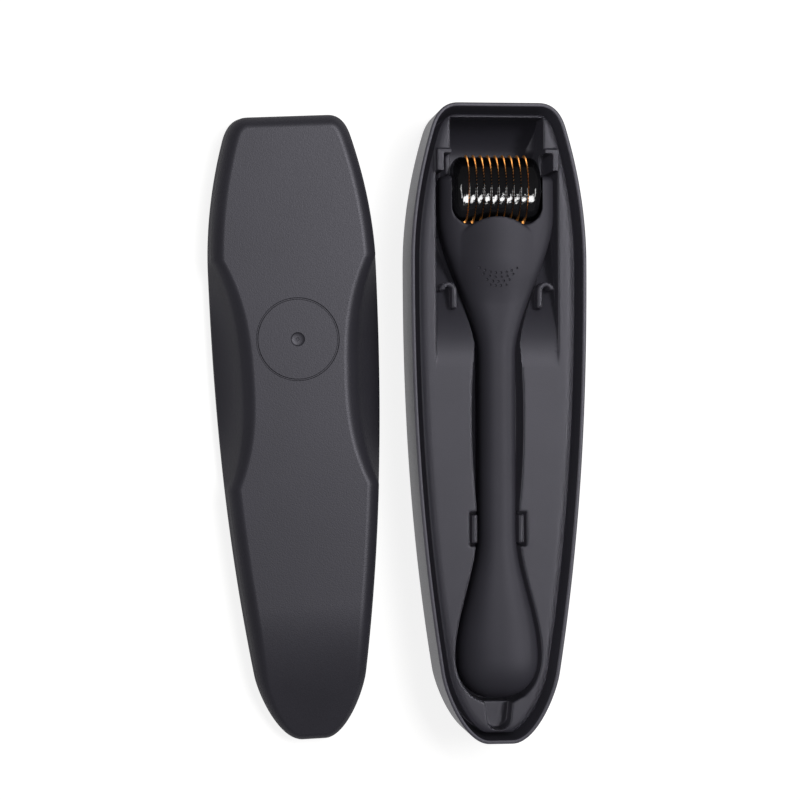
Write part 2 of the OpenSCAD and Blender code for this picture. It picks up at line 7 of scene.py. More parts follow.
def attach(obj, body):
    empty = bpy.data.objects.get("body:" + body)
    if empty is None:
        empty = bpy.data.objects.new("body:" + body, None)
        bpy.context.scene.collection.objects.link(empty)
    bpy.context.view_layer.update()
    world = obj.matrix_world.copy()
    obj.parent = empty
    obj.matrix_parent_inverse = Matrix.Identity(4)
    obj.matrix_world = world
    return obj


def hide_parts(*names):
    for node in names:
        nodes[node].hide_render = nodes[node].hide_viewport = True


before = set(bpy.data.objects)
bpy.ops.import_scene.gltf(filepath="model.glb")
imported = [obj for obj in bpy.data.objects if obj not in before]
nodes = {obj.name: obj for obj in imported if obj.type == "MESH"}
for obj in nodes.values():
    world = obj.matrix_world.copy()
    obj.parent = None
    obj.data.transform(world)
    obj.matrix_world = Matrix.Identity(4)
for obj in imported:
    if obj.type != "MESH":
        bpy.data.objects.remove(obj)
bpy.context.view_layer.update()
scene = bpy.context.scene
mm = 0.001


# camera: almost straight down, a little left of the tray
cameraPlan = {
    "place": (-0.100, 0.0, 0.700),
    "aim": (-0.0232, 0.0062, 0.0),
    "lens": 119.2,
    "sensor": 36.0,
    "roll": -0.0036,  # radians
    "nearest": 0.01,
}


def makeCamera():
    data = bpy.data.cameras.new("photoCamera")
    data.sensor_width = cameraPlan["sensor"]
    data.lens = cameraPlan["lens"]
    data.clip_start = cameraPlan["nearest"]
    camera = bpy.data.objects.new("photoCamera", data)
    scene.collection.objects.link(camera)
    back = (Vector(cameraPlan["place"]) - Vector(cameraPlan["aim"])).normalized()
    side = Vector((0, 1, 0)).cross(back).normalized()
    up = back.cross(side)
    turn = cameraPlan["roll"]
    right = side * math.cos(turn) + up * math.sin(turn)
    upright = back.cross(right)
    place = Matrix((right, upright, back)).transposed().to_4x4()
    place.translation = cameraPlan["place"]
    camera.matrix_world = place
    scene.camera = camera


# finishes: a fine grain for gloss and bump, soft clouds for the tone
grainPlan = {
    "noiseSpan": (0.3, 0.7),  # most of a noise lies in here
    "grainDetail": 3.0,
    "cloudDetail": 2.0,
    "uprightSpan": (0.9, 0.2),  # upward part of the normal, from level to upright
}


def newMaterial(name):
    material = bpy.data.materials.new(name)
    material.use_nodes = True
    tree = material.node_tree
    return material, tree, tree.nodes["Principled BSDF"]


def noiseNode(tree, scale, detail):
    place = tree.nodes.new("ShaderNodeTexCoord")
    noise = tree.nodes.new("ShaderNodeTexNoise")
    noise.inputs["Scale"].default_value = scale
    noise.inputs["Detail"].default_value = detail
    tree.links.new(place.outputs["Object"], noise.inputs["Vector"])
    return noise.outputs["Fac"]


def mapRange(tree, value, span, low, high):
    node = tree.nodes.new("ShaderNodeMapRange")
    node.inputs["From Min"].default_value = span[0]
    node.inputs["From Max"].default_value = span[1]
    node.inputs["To Min"].default_value = low
    node.inputs["To Max"].default_value = high
    tree.links.new(value, node.inputs["Value"])
    return node.outputs["Result"]


def joinValues(tree, way, first, second):
    node = tree.nodes.new("ShaderNodeMath")
    node.operation = way
    tree.links.new(first, node.inputs[0])
    tree.links.new(second, node.inputs[1])
    return node.outputs[0]


def mouldedFinish(name, look):
    material, tree, shader = newMaterial(name)
    noiseSpan = grainPlan["noiseSpan"]
    grain = noiseNode(tree, look["grain"], grainPlan["grainDetail"])
    cloud = noiseNode(tree, look["cloud"], grainPlan["cloudDetail"])
    tone = tree.nodes.new("ShaderNodeMix")
    tone.data_type = "RGBA"
    tone.inputs["A"].default_value = (*look["dark"], 1)
    tone.inputs["B"].default_value = (*look["light"], 1)
    tree.links.new(mapRange(tree, cloud, noiseSpan, 0, 1), tone.inputs["Factor"])
    tree.links.new(tone.outputs["Result"], shader.inputs["Base Color"])
    rough = mapRange(tree, grain, noiseSpan, *look["rough"])
    if "matteSides" in look:  # upright faces scatter more than level ones
        facing = tree.nodes.new("ShaderNodeNewGeometry")
        split = tree.nodes.new("ShaderNodeSeparateXYZ")
        tree.links.new(facing.outputs["Normal"], split.inputs[0])
        more = mapRange(tree, split.outputs["Z"], grainPlan["uprightSpan"], 0, look["matteSides"])
        rough = joinValues(tree, "ADD", rough, more)
    tree.links.new(rough, shader.inputs["Roughness"])
    bump = tree.nodes.new("ShaderNodeBump")
    bump.inputs["Strength"].default_value = look["bump"]
    bump.inputs["Distance"].default_value = look["depth"] * mm
    tree.links.new(grain, bump.inputs["Height"])
    tree.links.new(bump.outputs["Normal"], shader.inputs["Normal"])
    shader.inputs["Specular IOR Level"].default_value = look["specular"]
    shader.inputs["Specular Tint"].default_value = (*look.get("tint", (1, 1, 1)), 1)
    shader.inputs["Metallic"].default_value = look.get("metal", 0.0)
    return material


# painted light: the lamps' cool cast, painted into the plastics' reflections as a specular tint
paintedCoolLight = (0.97, 0.95, 1.06)
sparkBlack = {  # the spark-textured black of the case, its gloss tinted with painted cool light
    "dark": (0.0200, 0.0192, 0.0250), "light": (0.0240, 0.0230, 0.0300),
    "grain": 3000, "cloud": 60, "depth": 0.05, "tint": paintedCoolLight}
casePlastic = mouldedFinish("casePlastic", {
    **sparkBlack, "rough": (0.40, 0.50), "bump": 0.5, "specular": 0.42})
lidPlastic = mouldedFinish("lidPlastic", {
    **sparkBlack, "dark": (0.0180, 0.0172, 0.0225), "light": (0.0215, 0.0206, 0.0270),
    "rough": (0.38, 0.48), "bump": 0.5, "specular": 0.44, "matteSides": 0.4})
linerPlastic = mouldedFinish("linerPlastic", {
    **sparkBlack, "rough": (0.38, 0.48), "bump": 0.4, "specular": 0.36})
handlePlastic = mouldedFinish("handlePlastic", {
    "dark": (0.0190, 0.0182, 0.0235), "light": (0.0225, 0.0216, 0.0280),
    "grain": 4200, "cloud": 80, "rough": (0.44, 0.54), "bump": 0.2, "depth": 0.03,
    "specular": 0.25, "tint": paintedCoolLight})
drumPlastic = mouldedFinish("drumPlastic", {
    "dark": (0.0010, 0.0010, 0.0012), "light": (0.0016, 0.0016, 0.0018),
    "grain": 600, "cloud": 200, "rough": (0.05, 0.12), "bump": 0.8, "depth": 0.16,
    "specular": 0.2})
needleGold = mouldedFinish("needleGold", {
    "dark": (0.30, 0.12, 0.03), "light": (0.50, 0.22, 0.06),
    "grain": 2200, "cloud": 300, "rough": (0.30, 0.44), "bump": 0.1, "depth": 0.02,
    "specular": 0.5, "metal": 1.0})
axleSteel = mouldedFinish("axleSteel", {
    "dark": (0.50, 0.50, 0.50), "light": (0.62, 0.62, 0.63),
    "grain": 5000, "cloud": 900, "rough": (0.22, 0.38), "bump": 0.1, "depth": 0.01,
    "specular": 0.5, "metal": 1.0})
print("finishes ready")


# mesh helpers, all sizes in millimetres
def linkObject(name, data):
    thing = bpy.data.objects.new(name, data)
    scene.collection.objects.link(thing)
    return thing


def addObject(name, points, faces):
    mesh = bpy.data.meshes.new(name)
    mesh.from_pydata([(x * mm, y * mm, z * mm) for x, y, z in points], [], faces)
    form = bmesh.new()
    form.from_mesh(mesh)
    bmesh.ops.recalc_face_normals(form, faces=form.faces)
    form.to_mesh(mesh)
    form.free()
    return linkObject(name, mesh)


def ringStack(name, rings):
    count = len(rings[0])
    points = [point for ring in rings for point in ring]
    faces = []
    for i in range(len(rings) - 1):
        a, b = i * count, (i + 1) * count
        for j in range(count):
            k = (j + 1) % count
            faces.append((a + j, a + k, b + k, b + j))
    for start in (0, (len(rings) - 1) * count):  # ends closed by strips from side to side
        for j in range(count // 2 - 1):
            m = count - 1 - j
            faces.append((start + j, start + j + 1, start + m - 1, start + m))
    return addObject(name, points, faces)


def lathe(name, profile, steps, centre, upright=False):
    points, faces = [], []
    count = len(profile)
    for i in range(steps):
        angle = 2 * math.pi * i / steps
        for along, radius in profile:
            across, other = radius * math.cos(angle), radius * math.sin(angle)
            spot = (across, other, along) if upright else (along, across, other)
            points.append(tuple(c + s for c, s in zip(centre, spot)))
        for j in range(count):
            k = (j + 1) % count
            n = (i + 1) % steps
            faces.append((i * count + j, i * count + k, n * count + k, n * count + j))
    return addObject(name, points, faces)


def prism(name, outline, low, high):
    count = len(outline)
    points = [(x, y, low) for x, y in outline] + [(x, y, high) for x, y in outline]
    faces = [tuple(range(count)), tuple(range(count, 2 * count))]
    faces += [(j, (j + 1) % count, count + (j + 1) % count, count + j) for j in range(count)]
    return addObject(name, points, faces)


def bake(thing):
    bpy.context.view_layer.update()
    graph = bpy.context.evaluated_depsgraph_get()
    mesh = bpy.data.meshes.new_from_object(thing.evaluated_get(graph))
    thing.modifiers.clear()
    spent = thing.data
    thing.data = mesh
    bpy.data.meshes.remove(spent)


def carve(thing, tool, way="DIFFERENCE"):
    cut = thing.modifiers.new("carve", "BOOLEAN")
    cut.operation = way
    cut.solver = "EXACT"
    cut.object = tool
    bake(thing)
    bpy.data.objects.remove(tool)


def soften(thing, voxel, rounds, pull=0.5):
    skin = thing.modifiers.new("skin", "REMESH")
    skin.mode = "VOXEL"
    skin.voxel_size = voxel * mm
    even = thing.modifiers.new("even", "SMOOTH")
    even.factor = pull
    even.iterations = rounds
    bake(thing)


def finishPiece(thing, finish, body, node, sharp):
    thing.data.materials.clear()
    thing.data.materials.append(finish)
    thing.data.shade_smooth()
    thing.data.set_sharp_from_angle(angle=math.radians(sharp))
    level = thing.modifiers.new("evenNormals", "WEIGHTED_NORMAL")
    level.keep_sharp = True
    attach(thing, body)
    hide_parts(node)


def ease(t):
    t = max(0.0, min(1.0, t))
    return t * t * (3 - 2 * t)


def quarter(steps):
    return [math.pi / 2 * i / steps for i in range(steps + 1)]


# outline that tray and lid share
caseLine = {
    "headY": 82.65, "headFlat": 21.0, "headCorner": 6.4, "halfHead": 17.53, "headPow": 1.96,
    "halfWide": 22.83, "wideY": 41.35, "halfTail": 15.4, "tailPow": 2.26,
    "tailCorner": 18.0, "tailFlat": 5.9, "tailBend": 6.4, "tailLead": 0.3,
    "headSteps": 14, "sideSteps": 150, "tailSteps": 36,
}


def caseOutline():
    c = caseLine
    headY, wideY = c["headY"], c["wideY"]
    sideHigh, sideLow = headY - c["headCorner"], -headY + c["tailCorner"]
    belly, waist = c["halfWide"] - c["halfHead"], c["halfWide"] - c["halfTail"]
    headSlope = belly * c["headPow"] / (sideHigh - wideY)
    tailSlope = waist * c["tailPow"] / (wideY - sideLow)
    cornerX = c["halfHead"] - headSlope * c["headCorner"]
    half = []
    for i in range(c["headSteps"]):
        t = i / c["headSteps"]
        a, b, d = (1 - t) ** 2, 2 * t * (1 - t), t * t
        half.append((a * c["headFlat"] / 2 + b * cornerX + d * c["halfHead"],
                     (a + b) * headY + d * sideHigh))
    for i in range(c["sideSteps"]):
        y = sideHigh - (sideHigh - sideLow) * i / c["sideSteps"]
        if y > wideY:
            x = c["halfWide"] - belly * ((y - wideY) / (sideHigh - wideY)) ** c["headPow"]
        else:
            x = c["halfWide"] - waist * ((wideY - y) / (wideY - sideLow)) ** c["tailPow"]
        half.append((x, y))
    lead = c["tailLead"] * c["tailCorner"]
    knots = [(c["halfTail"], sideLow), (c["halfTail"] - lead * tailSlope, sideLow - lead),
             (c["tailFlat"] / 2 + c["tailBend"], -headY), (c["tailFlat"] / 2, -headY)]
    for i in range(c["tailSteps"] + 1):
        t = i / c["tailSteps"]
        share = ((1 - t) ** 3, 3 * t * (1 - t) ** 2, 3 * t * t * (1 - t), t ** 3)
        half.append(tuple(sum(s * k[axis] for s, k in zip(share, knots)) for axis in (0, 1)))
    ring = half[::-1] + [(-x, y) for x, y in half]
    inward = []
    for i in range(len(ring)):
        before, after = ring[i - 1], ring[(i + 1) % len(ring)]
        dx, dy = after[0] - before[0], after[1] - before[1]
        size = math.hypot(dx, dy)
        inward.append((-dy / size, dx / size))
    return ring, inward


caseRing, caseInward = caseOutline()


# tray shell with its rim
trayPlan = {
    "height": 24.5, "rim": 1.0, "outerRound": 0.35, "innerRound": 0.25, "base": 3.0,
    "draft": 0.1, "plate": 20.7, "floor": 1.8, "lip": 2.5, "skirtGap": 0.5, "skirtFoot": 1.0,
    "baseSteps": 8, "wallSteps": 6, "outerSteps": 5, "innerSteps": 4, "sharp": 32,
}


def makeTray():
    t = trayPlan
    base, height, steps = t["base"], t["height"], t["wallSteps"]
    outer, inner = t["outerRound"], t["innerRound"]
    wallTop, innerStart = height - outer, t["rim"] - inner
    profile = [(t["draft"] + base * (1 - math.sin(f)), base * (1 - math.cos(f)))
               for f in quarter(t["baseSteps"])]
    profile += [(t["draft"] * (1 - i / steps), base + (wallTop - base) * i / steps)
                for i in range(1, steps)]
    profile += [(outer * (1 - math.cos(f)), wallTop + outer * math.sin(f))
                for f in quarter(t["outerSteps"])]
    profile += [(innerStart + inner * math.sin(f), height - inner * (1 - math.cos(f)))
                for f in quarter(t["innerSteps"])]
    profile += [(t["rim"], t["plate"]),
                (t["lip"] - t["skirtGap"], t["floor"] + t["skirtFoot"]),
                (t["lip"] - t["skirtGap"] / 2, t["floor"])]
    rings = [[(x + e * n[0], y + e * n[1], z) for (x, y), n in zip(caseRing, caseInward)]
             for e, z in profile]
    tray = ringStack("caseTray", rings)
    finishPiece(tray, casePlastic, "tray", "tray_shell", t["sharp"])
    return tray


# lid shell: scooped sides, sloping tail, ring groove and dimple on top
lidPlan = {
    "place": (-50.26, -1.0, 2.4), "turn": 2.4, "height": 10.0, "wall": 1.5, "edge": 0.6,
    "draft": 0.9, "edgeRound": 0.3, "innerBend": 1.7,
    "round": 3.2, "roundWide": 1.4, "roundTurn": 60, "crown": 1.0, "crownWide": 2.8,
    "tongue": 2.4, "tongueIn": 0.55, "tongueBevel": 0.2,
    "scoopDepth": 6.2, "scoopLength": 59.6, "scoopY": 14.5, "scoopZ": 2.0,
    "scoopPow": 2.5, "scoopRise": 1.7,
    "bowLength": 36.0, "bowDrop": 6.4, "bowBend": 0.6, "settles": 8,
    "bendSteps": 4, "hollowSteps": 10, "wallSteps": 12, "roundSteps": 8, "crownSteps": 12,
    "sharp": 32,
}
lidMark = {
    "y": 23.0, "radius": 10.8, "width": 0.42, "depth": 0.35, "taper": 0.08, "sides": 160,
    "dimpleRadius": 1.8, "dimpleDepth": 0.4, "dimplePow": 0.6, "dimpleLip": 0.05,
    "pitRadius": 0.45, "pitDepth": 0.3, "dimpleSteps": 8, "dimpleSides": 64,
    "bevel": 0.1, "skim": 0.02, "over": 0.5, "core": 0.001,
}


def lidBow(y):
    p = lidPlan
    u = max(0.0, (-caseLine["headY"] + p["bowLength"] - y) / p["bowLength"])
    bend = p["bowBend"]
    fall = u * u / (2 * bend) if u < bend else u - bend / 2
    return p["bowDrop"] * fall / (1 - bend / 2)


def lidRing(inset, z, top, narrows):
    p = lidPlan
    lift = max(0.0, min(1.0, (z - p["scoopZ"]) / (p["height"] - p["scoopZ"])))
    depth = 1 - (1 - lift) ** p["scoopRise"]
    ring = []
    for (x, y), n in zip(caseRing, caseInward):
        k = 1.0
        for turn in range(p["settles"] if narrows else 0):  # height and inset settle together
            k = 1 - lidBow(y + (p["edge"] + inset * k) * n[1]) / top
        e = p["edge"] + inset * k
        x, y = x + e * n[0], y + e * n[1]
        k = 1 - lidBow(y) / top
        u = abs(y - p["scoopY"]) / (p["scoopLength"] / 2)
        x -= math.copysign(p["scoopDepth"] * max(0.0, 1 - u ** p["scoopPow"]) * depth, x)
        ring.append((x, y, z * k if z > 0 else z))
    return ring


def lidHollow():
    p = lidPlan
    bend, steps, low = p["innerBend"], p["hollowSteps"], p["scoopZ"]
    inside, inset = p["height"] - p["wall"], p["draft"] + p["wall"]
    hollow = [(inset + bend * (1 - math.cos(f)), inside - bend * (1 - math.sin(f)))
              for f in quarter(p["bendSteps"])][::-1]
    hollow += [(inset, low + (inside - bend - low) * i / steps) for i in range(steps - 1, -1, -1)]
    hollow += [(inset, -p["tongue"]), (p["tongueIn"] + p["tongueBevel"], -p["tongue"]),
               (p["tongueIn"], -p["tongue"] + p["tongueBevel"]), (p["tongueIn"], 0)]
    hollow += [(p["edgeRound"] * (1 - math.sin(f)), p["edgeRound"] * (1 - math.cos(f)))
               for f in quarter(p["bendSteps"])]
    return [lidRing(e, z, inside, False) for e, z in hollow]


def lidOutside():
    p = lidPlan
    top, low = p["height"], p["scoopZ"]
    shoulder = top - p["round"]
    heights = [low + (shoulder - low) * i / p["wallSteps"] for i in range(p["wallSteps"] + 1)]
    outside = [(p["draft"] * z / top, z) for z in heights]
    start, rise = p["draft"] * shoulder / top, p["round"] - p["crown"]
    for i in range(1, p["roundSteps"] + 1):
        f = math.radians(p["roundTurn"]) * i / p["roundSteps"]
        outside.append((start + p["roundWide"] * (1 - math.cos(f)), shoulder + rise * math.sin(f)))
    lastIn, lastUp = outside[-1]
    for i in range(1, p["crownSteps"] + 1):
        t = i / p["crownSteps"]
        outside.append((lastIn + p["crownWide"] * t, top - (top - lastUp) * (1 - t) ** 2))
    return [lidRing(e, z, top, True) for e, z in outside]


def markLid(lid):
    m = lidMark
    top, centre = lidPlan["height"], (0, m["y"], 0)
    outer, inner, floor = m["radius"], m["radius"] - m["width"], top - m["depth"]
    bevel, skim, over = m["bevel"], top + m["skim"], top + m["over"]
    groove = [(over, inner - bevel), (skim, inner - bevel), (top - bevel, inner),
              (floor, inner + m["taper"]), (floor, outer - m["taper"]), (top - bevel, outer),
              (skim, outer + bevel), (over, outer + bevel)]
    carve(lid, lathe("ringGroove", groove, m["sides"], centre, True))
    bowl, pit = top - m["dimpleDepth"], top - m["dimpleDepth"] - m["pitDepth"]
    span, lip = m["dimpleRadius"] - m["pitRadius"], m["dimpleRadius"] + m["dimpleLip"]
    dimple = [(over, m["core"]), (pit, m["core"]), (pit, m["pitRadius"] - bevel),
              (bowl, m["pitRadius"])]
    dimple += [(top - m["dimpleDepth"] * math.cos(f) ** m["dimplePow"],
                m["pitRadius"] + span * math.sin(f)) for f in quarter(m["dimpleSteps"])[1:-1]]
    dimple += [(skim, lip), (over, lip)]
    carve(lid, lathe("thumbDimple", dimple, m["dimpleSides"], centre, True))


def makeLid():
    p = lidPlan
    lid = ringStack("caseLid", lidHollow() + lidOutside())
    markLid(lid)
    place = Matrix.Translation([c * mm for c in p["place"]])
    lid.data.transform(place @ Matrix.Rotation(math.radians(p["turn"]), 4, "Z"))
    finishPiece(lid, lidPlastic, "lid", "lid_shell", p["sharp"])


# liner: the moulded insert, its edges softened
linerPlan = {
    "voxel": 0.25, "smoothing": 3, "keep": 0.3, "sharp": 60,
    "pocketHalf": 12.18, "pocketStart": 68.0, "pocketEnd": 79.25, "pocketFloor": 3.1,
    "wallSlack": 0.35, "floorSlack": 0.4,
    "endCove": 9.8, "sideCove": 4.0, "sideStart": 70.0, "sideFade": 3.0, "coveTop": 14.0,
    "plateZ": 20.7, "rampLow": 14.15, "rampRun": 47.0, "rampEnd": 4.1, "rampHalf": 15.85,
    "cadSoft": 10.0, "rampSoft": 14.0, "rampSlack": 0.3,
}


def rampHeight(y, soft):
    p = linerPlan
    run = max(0.0, y - p["rampLow"])
    tilt = (p["plateZ"] - p["rampEnd"]) / (p["rampRun"] - soft / 2)
    return p["plateZ"] - tilt * (run * run / (2 * soft) if run < soft else run - soft / 2)


def pocketCove(x, y):
    p = linerPlan
    sideShare = ease((y - p["sideStart"]) / p["sideFade"])
    rise = 0.0
    for way, radius, share in ((y - p["pocketEnd"], p["endCove"], 1.0),
                               (abs(x) - p["pocketHalf"], p["sideCove"], sideShare)):
        run = min(max(way + radius, 0.0), radius)
        rise = max(rise, share * (radius - math.sqrt(radius * radius - run * run)))
    return p["pocketFloor"] + rise


def makeLiner():
    p = linerPlan
    liner = linkObject("trayLiner", nodes["tray_liner"].data.copy())
    soften(liner, p["voxel"], p["smoothing"])
    halfWide, farEnd = p["pocketHalf"] + p["wallSlack"], p["pocketEnd"] + p["wallSlack"]
    floorLow, rampHigh = p["pocketFloor"] - p["floorSlack"], p["rampLow"] + p["rampRun"]
    for vertex in liner.data.vertices:
        x, y, z = vertex.co / mm
        inPocket = abs(x) < halfWide and p["pocketStart"] < y < farEnd
        if inPocket and floorLow < z < p["coveTop"]:  # its floor runs up into its walls
            vertex.co.z = max(z, pocketCove(x, y)) * mm
        onRamp = abs(x) < p["rampHalf"] and p["rampLow"] < y < rampHigh
        if onRamp and abs(z - rampHeight(y, p["cadSoft"])) < p["rampSlack"]:  # sets in softly
            vertex.co.z = rampHeight(y, p["rampSoft"]) * mm
    thin = liner.modifiers.new("thin", "DECIMATE")
    thin.ratio = p["keep"]
    bake(liner)
    print("liner faces", len(liner.data.polygons))
    finishPiece(liner, linerPlastic, "tray", "tray_liner", p["sharp"])
    return liner


# handle: fork, thumb pad, neck and bulb
axleY, axleZ = 60.95, 16.0
handlePlan = {
    "bulbEnd": -71.55, "length": 135.7, "bulbRound": 11.0, "bulbWidth": 21.6,
    "bulbThick": 14.0, "bulbPow": 2.3, "bulbTaper": 32.5,
    "neckWidth": 10.2, "neckThick": 10.4, "roundPow": 2.8,
    "flareEnd": 6.2, "flareLength": 38.0, "forkWidth": 30.46, "forkThick": 12.0, "forkPow": 4.0,
    "tipRound": 1.6, "tipShare": 0.9, "slotWidth": 23.66, "crotchY": 51.45, "crotchRound": 5.0,
    "drumRoom": 9.3, "capRoom": 8.75, "capFace": 5.6, "capStart": 8.98, "core": 0.01,
    "slotOver": 5, "slotHigh": 20, "jointLine": 0.10, "onJoint": 1e-7,
    "bulbStart": 4, "bulbSteps": 24, "neckSteps": 120, "tipSteps": 8, "sides": 96,
    "crotchSteps": 12, "capSteps": 10, "roomSides": 96,
    "voxel": 0.27, "smoothing": 7, "sharp": 40,
}
padPlan = {
    "radius": 11.6, "rise": 1.4, "length": 24.0, "over": 2.0, "skin": 0.04, "half": 10.0,
    "share": 0.9, "swell": 13.8, "fade": 1.4, "foot": 2.5, "lap": 0.01,
    "cutFoot": 3, "cutBack": 0.5, "cutStart": 1, "rows": 40, "columns": 30, "archSteps": 48,
}
gripPlan = {
    "rows": ((8, 38.8, 4.9), (6, 37.7, 3.9), (5, 36.6, 2.9), (4, 35.5, 2.1)),  # count, y, reach
    "bow": 1.3, "bowReach": 4.9, "radius": 0.36, "depth": 0.34, "sides": 10, "levels": 5,
}
handleTip = handlePlan["bulbEnd"] + handlePlan["length"]
flareLow = axleY - handlePlan["flareEnd"] - handlePlan["flareLength"]


def handleHalf(y, bulb, neck, fork):
    h = handlePlan
    bulbY = h["bulbEnd"] + h["bulbRound"]
    if y < bulbY:
        u = (bulbY - y) / h["bulbRound"]
        return bulb / 2 * max(0.0, 1 - u ** h["bulbPow"]) ** (1 / h["bulbPow"])
    u = max(0.0, y - handleTip + h["tipRound"]) / h["tipRound"]
    tip = h["tipRound"] * (1 - math.sqrt(max(0.0, 1 - h["tipShare"] * u * u)))
    taper = (bulb - neck) * ease((bulbY + h["bulbTaper"] - y) / h["bulbTaper"])
    flare = (fork - neck) * ease((y - flareLow) / h["flareLength"])
    return (neck + taper + flare) / 2 - tip


def handlePow(y):
    h = handlePlan
    flare = ease((y - flareLow) / h["flareLength"])
    return h["roundPow"] + (h["forkPow"] - h["roundPow"]) * flare


def handleReach(y):
    h = handlePlan
    return (handleHalf(y, h["bulbWidth"], h["neckWidth"], h["forkWidth"]),
            handleHalf(y, h["bulbThick"], h["neckThick"], h["forkThick"]))


def handleSection(y):
    across, thick = handleReach(y)
    bend, sides = 2 / handlePow(y), handlePlan["sides"]
    section = []
    for i in range(sides):
        f = 2 * math.pi * i / sides + math.pi / sides
        c, s = math.cos(f), math.sin(f)
        section.append((across * math.copysign(abs(c) ** bend, c), y,
                        axleZ + thick * math.copysign(abs(s) ** bend, s)))
    top = sides // 4  # starts at the top, so the end strips run across
    return section[top:] + section[:top]


def padHalf(y):
    return min(padPlan["half"], padPlan["share"] * handleReach(y)[0])


def padTop(x, y):
    p = padPlan
    start = handlePlan["crotchY"] + p["over"] - p["length"]
    across, thick = handleReach(y)
    curve = handlePow(y)
    body = thick * max(0.0, 1 - (abs(x) / across) ** curve) ** (1 / curve)
    fade = max(0.0, 1 - (x / padHalf(y)) ** 2) ** p["fade"]
    return axleZ + body - p["skin"] + p["rise"] * ease((y - start) / p["swell"]) * fade


def makePad():
    p = padPlan
    r, rows, columns = p["radius"], p["rows"], p["columns"]
    padY = handlePlan["crotchY"] + p["over"] - r
    start, end = padY + r - p["length"], padY + r + p["lap"]
    rings = []
    for j in range(rows + 1):
        y = start + (end - start) * j / rows
        spots = [padHalf(y) * (i / columns - 1) for i in range(2 * columns + 1)]
        foot = [(x, y, axleZ + p["foot"]) for x in spots[::-1]]
        rings.append([(x, y, padTop(x, y)) for x in spots] + foot)
    pad = ringStack("thumbPad", rings)
    turns = [math.pi * i / p["archSteps"] for i in range(p["archSteps"] + 1)]
    arch = [(r * math.cos(f), padY + r * math.sin(f)) for f in turns]
    side, back, low = handlePlan["forkWidth"], padY - p["cutBack"], start - p["cutStart"]
    outline = arch + [(-r, back), (-side, back), (-side, low), (side, low), (side, back), (r, back)]
    carve(pad, prism("padArch", outline, axleZ + p["cutFoot"], axleZ + side), "INTERSECT")
    return pad


def gripPits():
    g = gripPlan
    points, faces = [], []
    sides, levels = g["sides"], g["levels"]
    for count, rowY, reach in g["rows"]:
        for i in range(count):
            x = reach * (2 * i / (count - 1) - 1)
            y = rowY + g["bow"] * (x / g["bowReach"]) ** 2
            top = padTop(x, y)
            base = len(points)
            for a in range(1, levels + 1):
                tilt = math.pi * a / (levels + 1)
                for b in range(sides):
                    turn = 2 * math.pi * b / sides
                    points.append((x + g["radius"] * math.sin(tilt) * math.cos(turn),
                                   y + g["radius"] * math.sin(tilt) * math.sin(turn),
                                   top + g["depth"] * math.cos(tilt)))
            for a in range(levels - 1):
                for b in range(sides):
                    n, row = (b + 1) % sides, base + a * sides
                    faces.append((row + b, row + n, row + sides + n, row + sides + b))
            for end in (base, base + (levels - 1) * sides):
                faces.append(tuple(end + b for b in range(sides)))
    return addObject("gripPits", points, faces)


def forkOpening():
    h = handlePlan
    half, bottom, r = h["slotWidth"] / 2, h["crotchY"], h["crotchRound"]
    end = handleTip + h["slotOver"]
    corner = [(half - r + r * math.cos(f), bottom + r - r * math.sin(f))
              for f in quarter(h["crotchSteps"])]
    outline = [(half, end)] + corner + [(-x, y) for x, y in corner[::-1]] + [(-half, end)]
    return prism("forkOpening", outline, axleZ - h["slotHigh"], axleZ + h["slotHigh"])


def drumRoom():
    h = handlePlan
    half, start, face = h["slotWidth"] / 2, h["capStart"], h["capFace"]
    room = [(0, h["drumRoom"]), (start, h["drumRoom"])]
    room += [(start + (half - start) * math.sin(f), face + (h["capRoom"] - face) * math.cos(f))
             for f in quarter(h["capSteps"])]
    room += [(half, h["core"])]
    room = [(-x, radius) for x, radius in room[:0:-1]] + room
    return lathe("drumRoom", room, h["roomSides"], (0, axleY, axleZ))


def splitShell(handle, name, node, upper):
    mesh = handle.data.copy()
    form = bmesh.new()
    form.from_mesh(mesh)
    whole = form.verts[:] + form.edges[:] + form.faces[:]
    bmesh.ops.bisect_plane(form, geom=whole, plane_co=(0, 0, axleZ * mm), plane_no=(0, 0, 1),
                           clear_inner=upper, clear_outer=not upper)
    rim = [v for v in form.verts if abs(v.co.z - axleZ * mm) < handlePlan["onJoint"]]
    form.normal_update()
    for vert in rim:  # a fine joint line where the two shells meet
        vert.co -= Vector((vert.normal.x, vert.normal.y, 0)) * handlePlan["jointLine"] * mm
    bmesh.ops.holes_fill(form, edges=[e for e in form.edges if e.is_boundary], sides=0)
    bmesh.ops.recalc_face_normals(form, faces=form.faces)
    form.to_mesh(mesh)
    form.free()
    shell = linkObject(name, mesh)
    finishPiece(shell, handlePlastic, "roller", node, handlePlan["sharp"])
    return shell


def makeHandle():
    h = handlePlan
    bulbY, first = h["bulbEnd"] + h["bulbRound"], h["bulbStart"]
    tipY, steps = handleTip - h["tipRound"], h["neckSteps"]
    turns = [first + (90 - first) * i / h["bulbSteps"] for i in range(h["bulbSteps"] + 1)]
    rows = [bulbY - h["bulbRound"] * math.cos(math.radians(f)) for f in turns]
    rows += [bulbY + (tipY - bulbY) * i / steps for i in range(1, steps + 1)]
    rows += [tipY + h["tipRound"] * math.sin(f) for f in quarter(h["tipSteps"])[1:]]
    handle = ringStack("handleBody", [handleSection(y) for y in rows])
    carve(handle, forkOpening())
    carve(handle, makePad(), "UNION")
    carve(handle, drumRoom())
    soften(handle, h["voxel"], h["smoothing"])
    carve(handle, gripPits())
    shells = [splitShell(handle, "handleFront", "handle_front", True),
              splitShell(handle, "handleBack", "handle_back", False)]
    bpy.data.objects.remove(handle)
    return shells


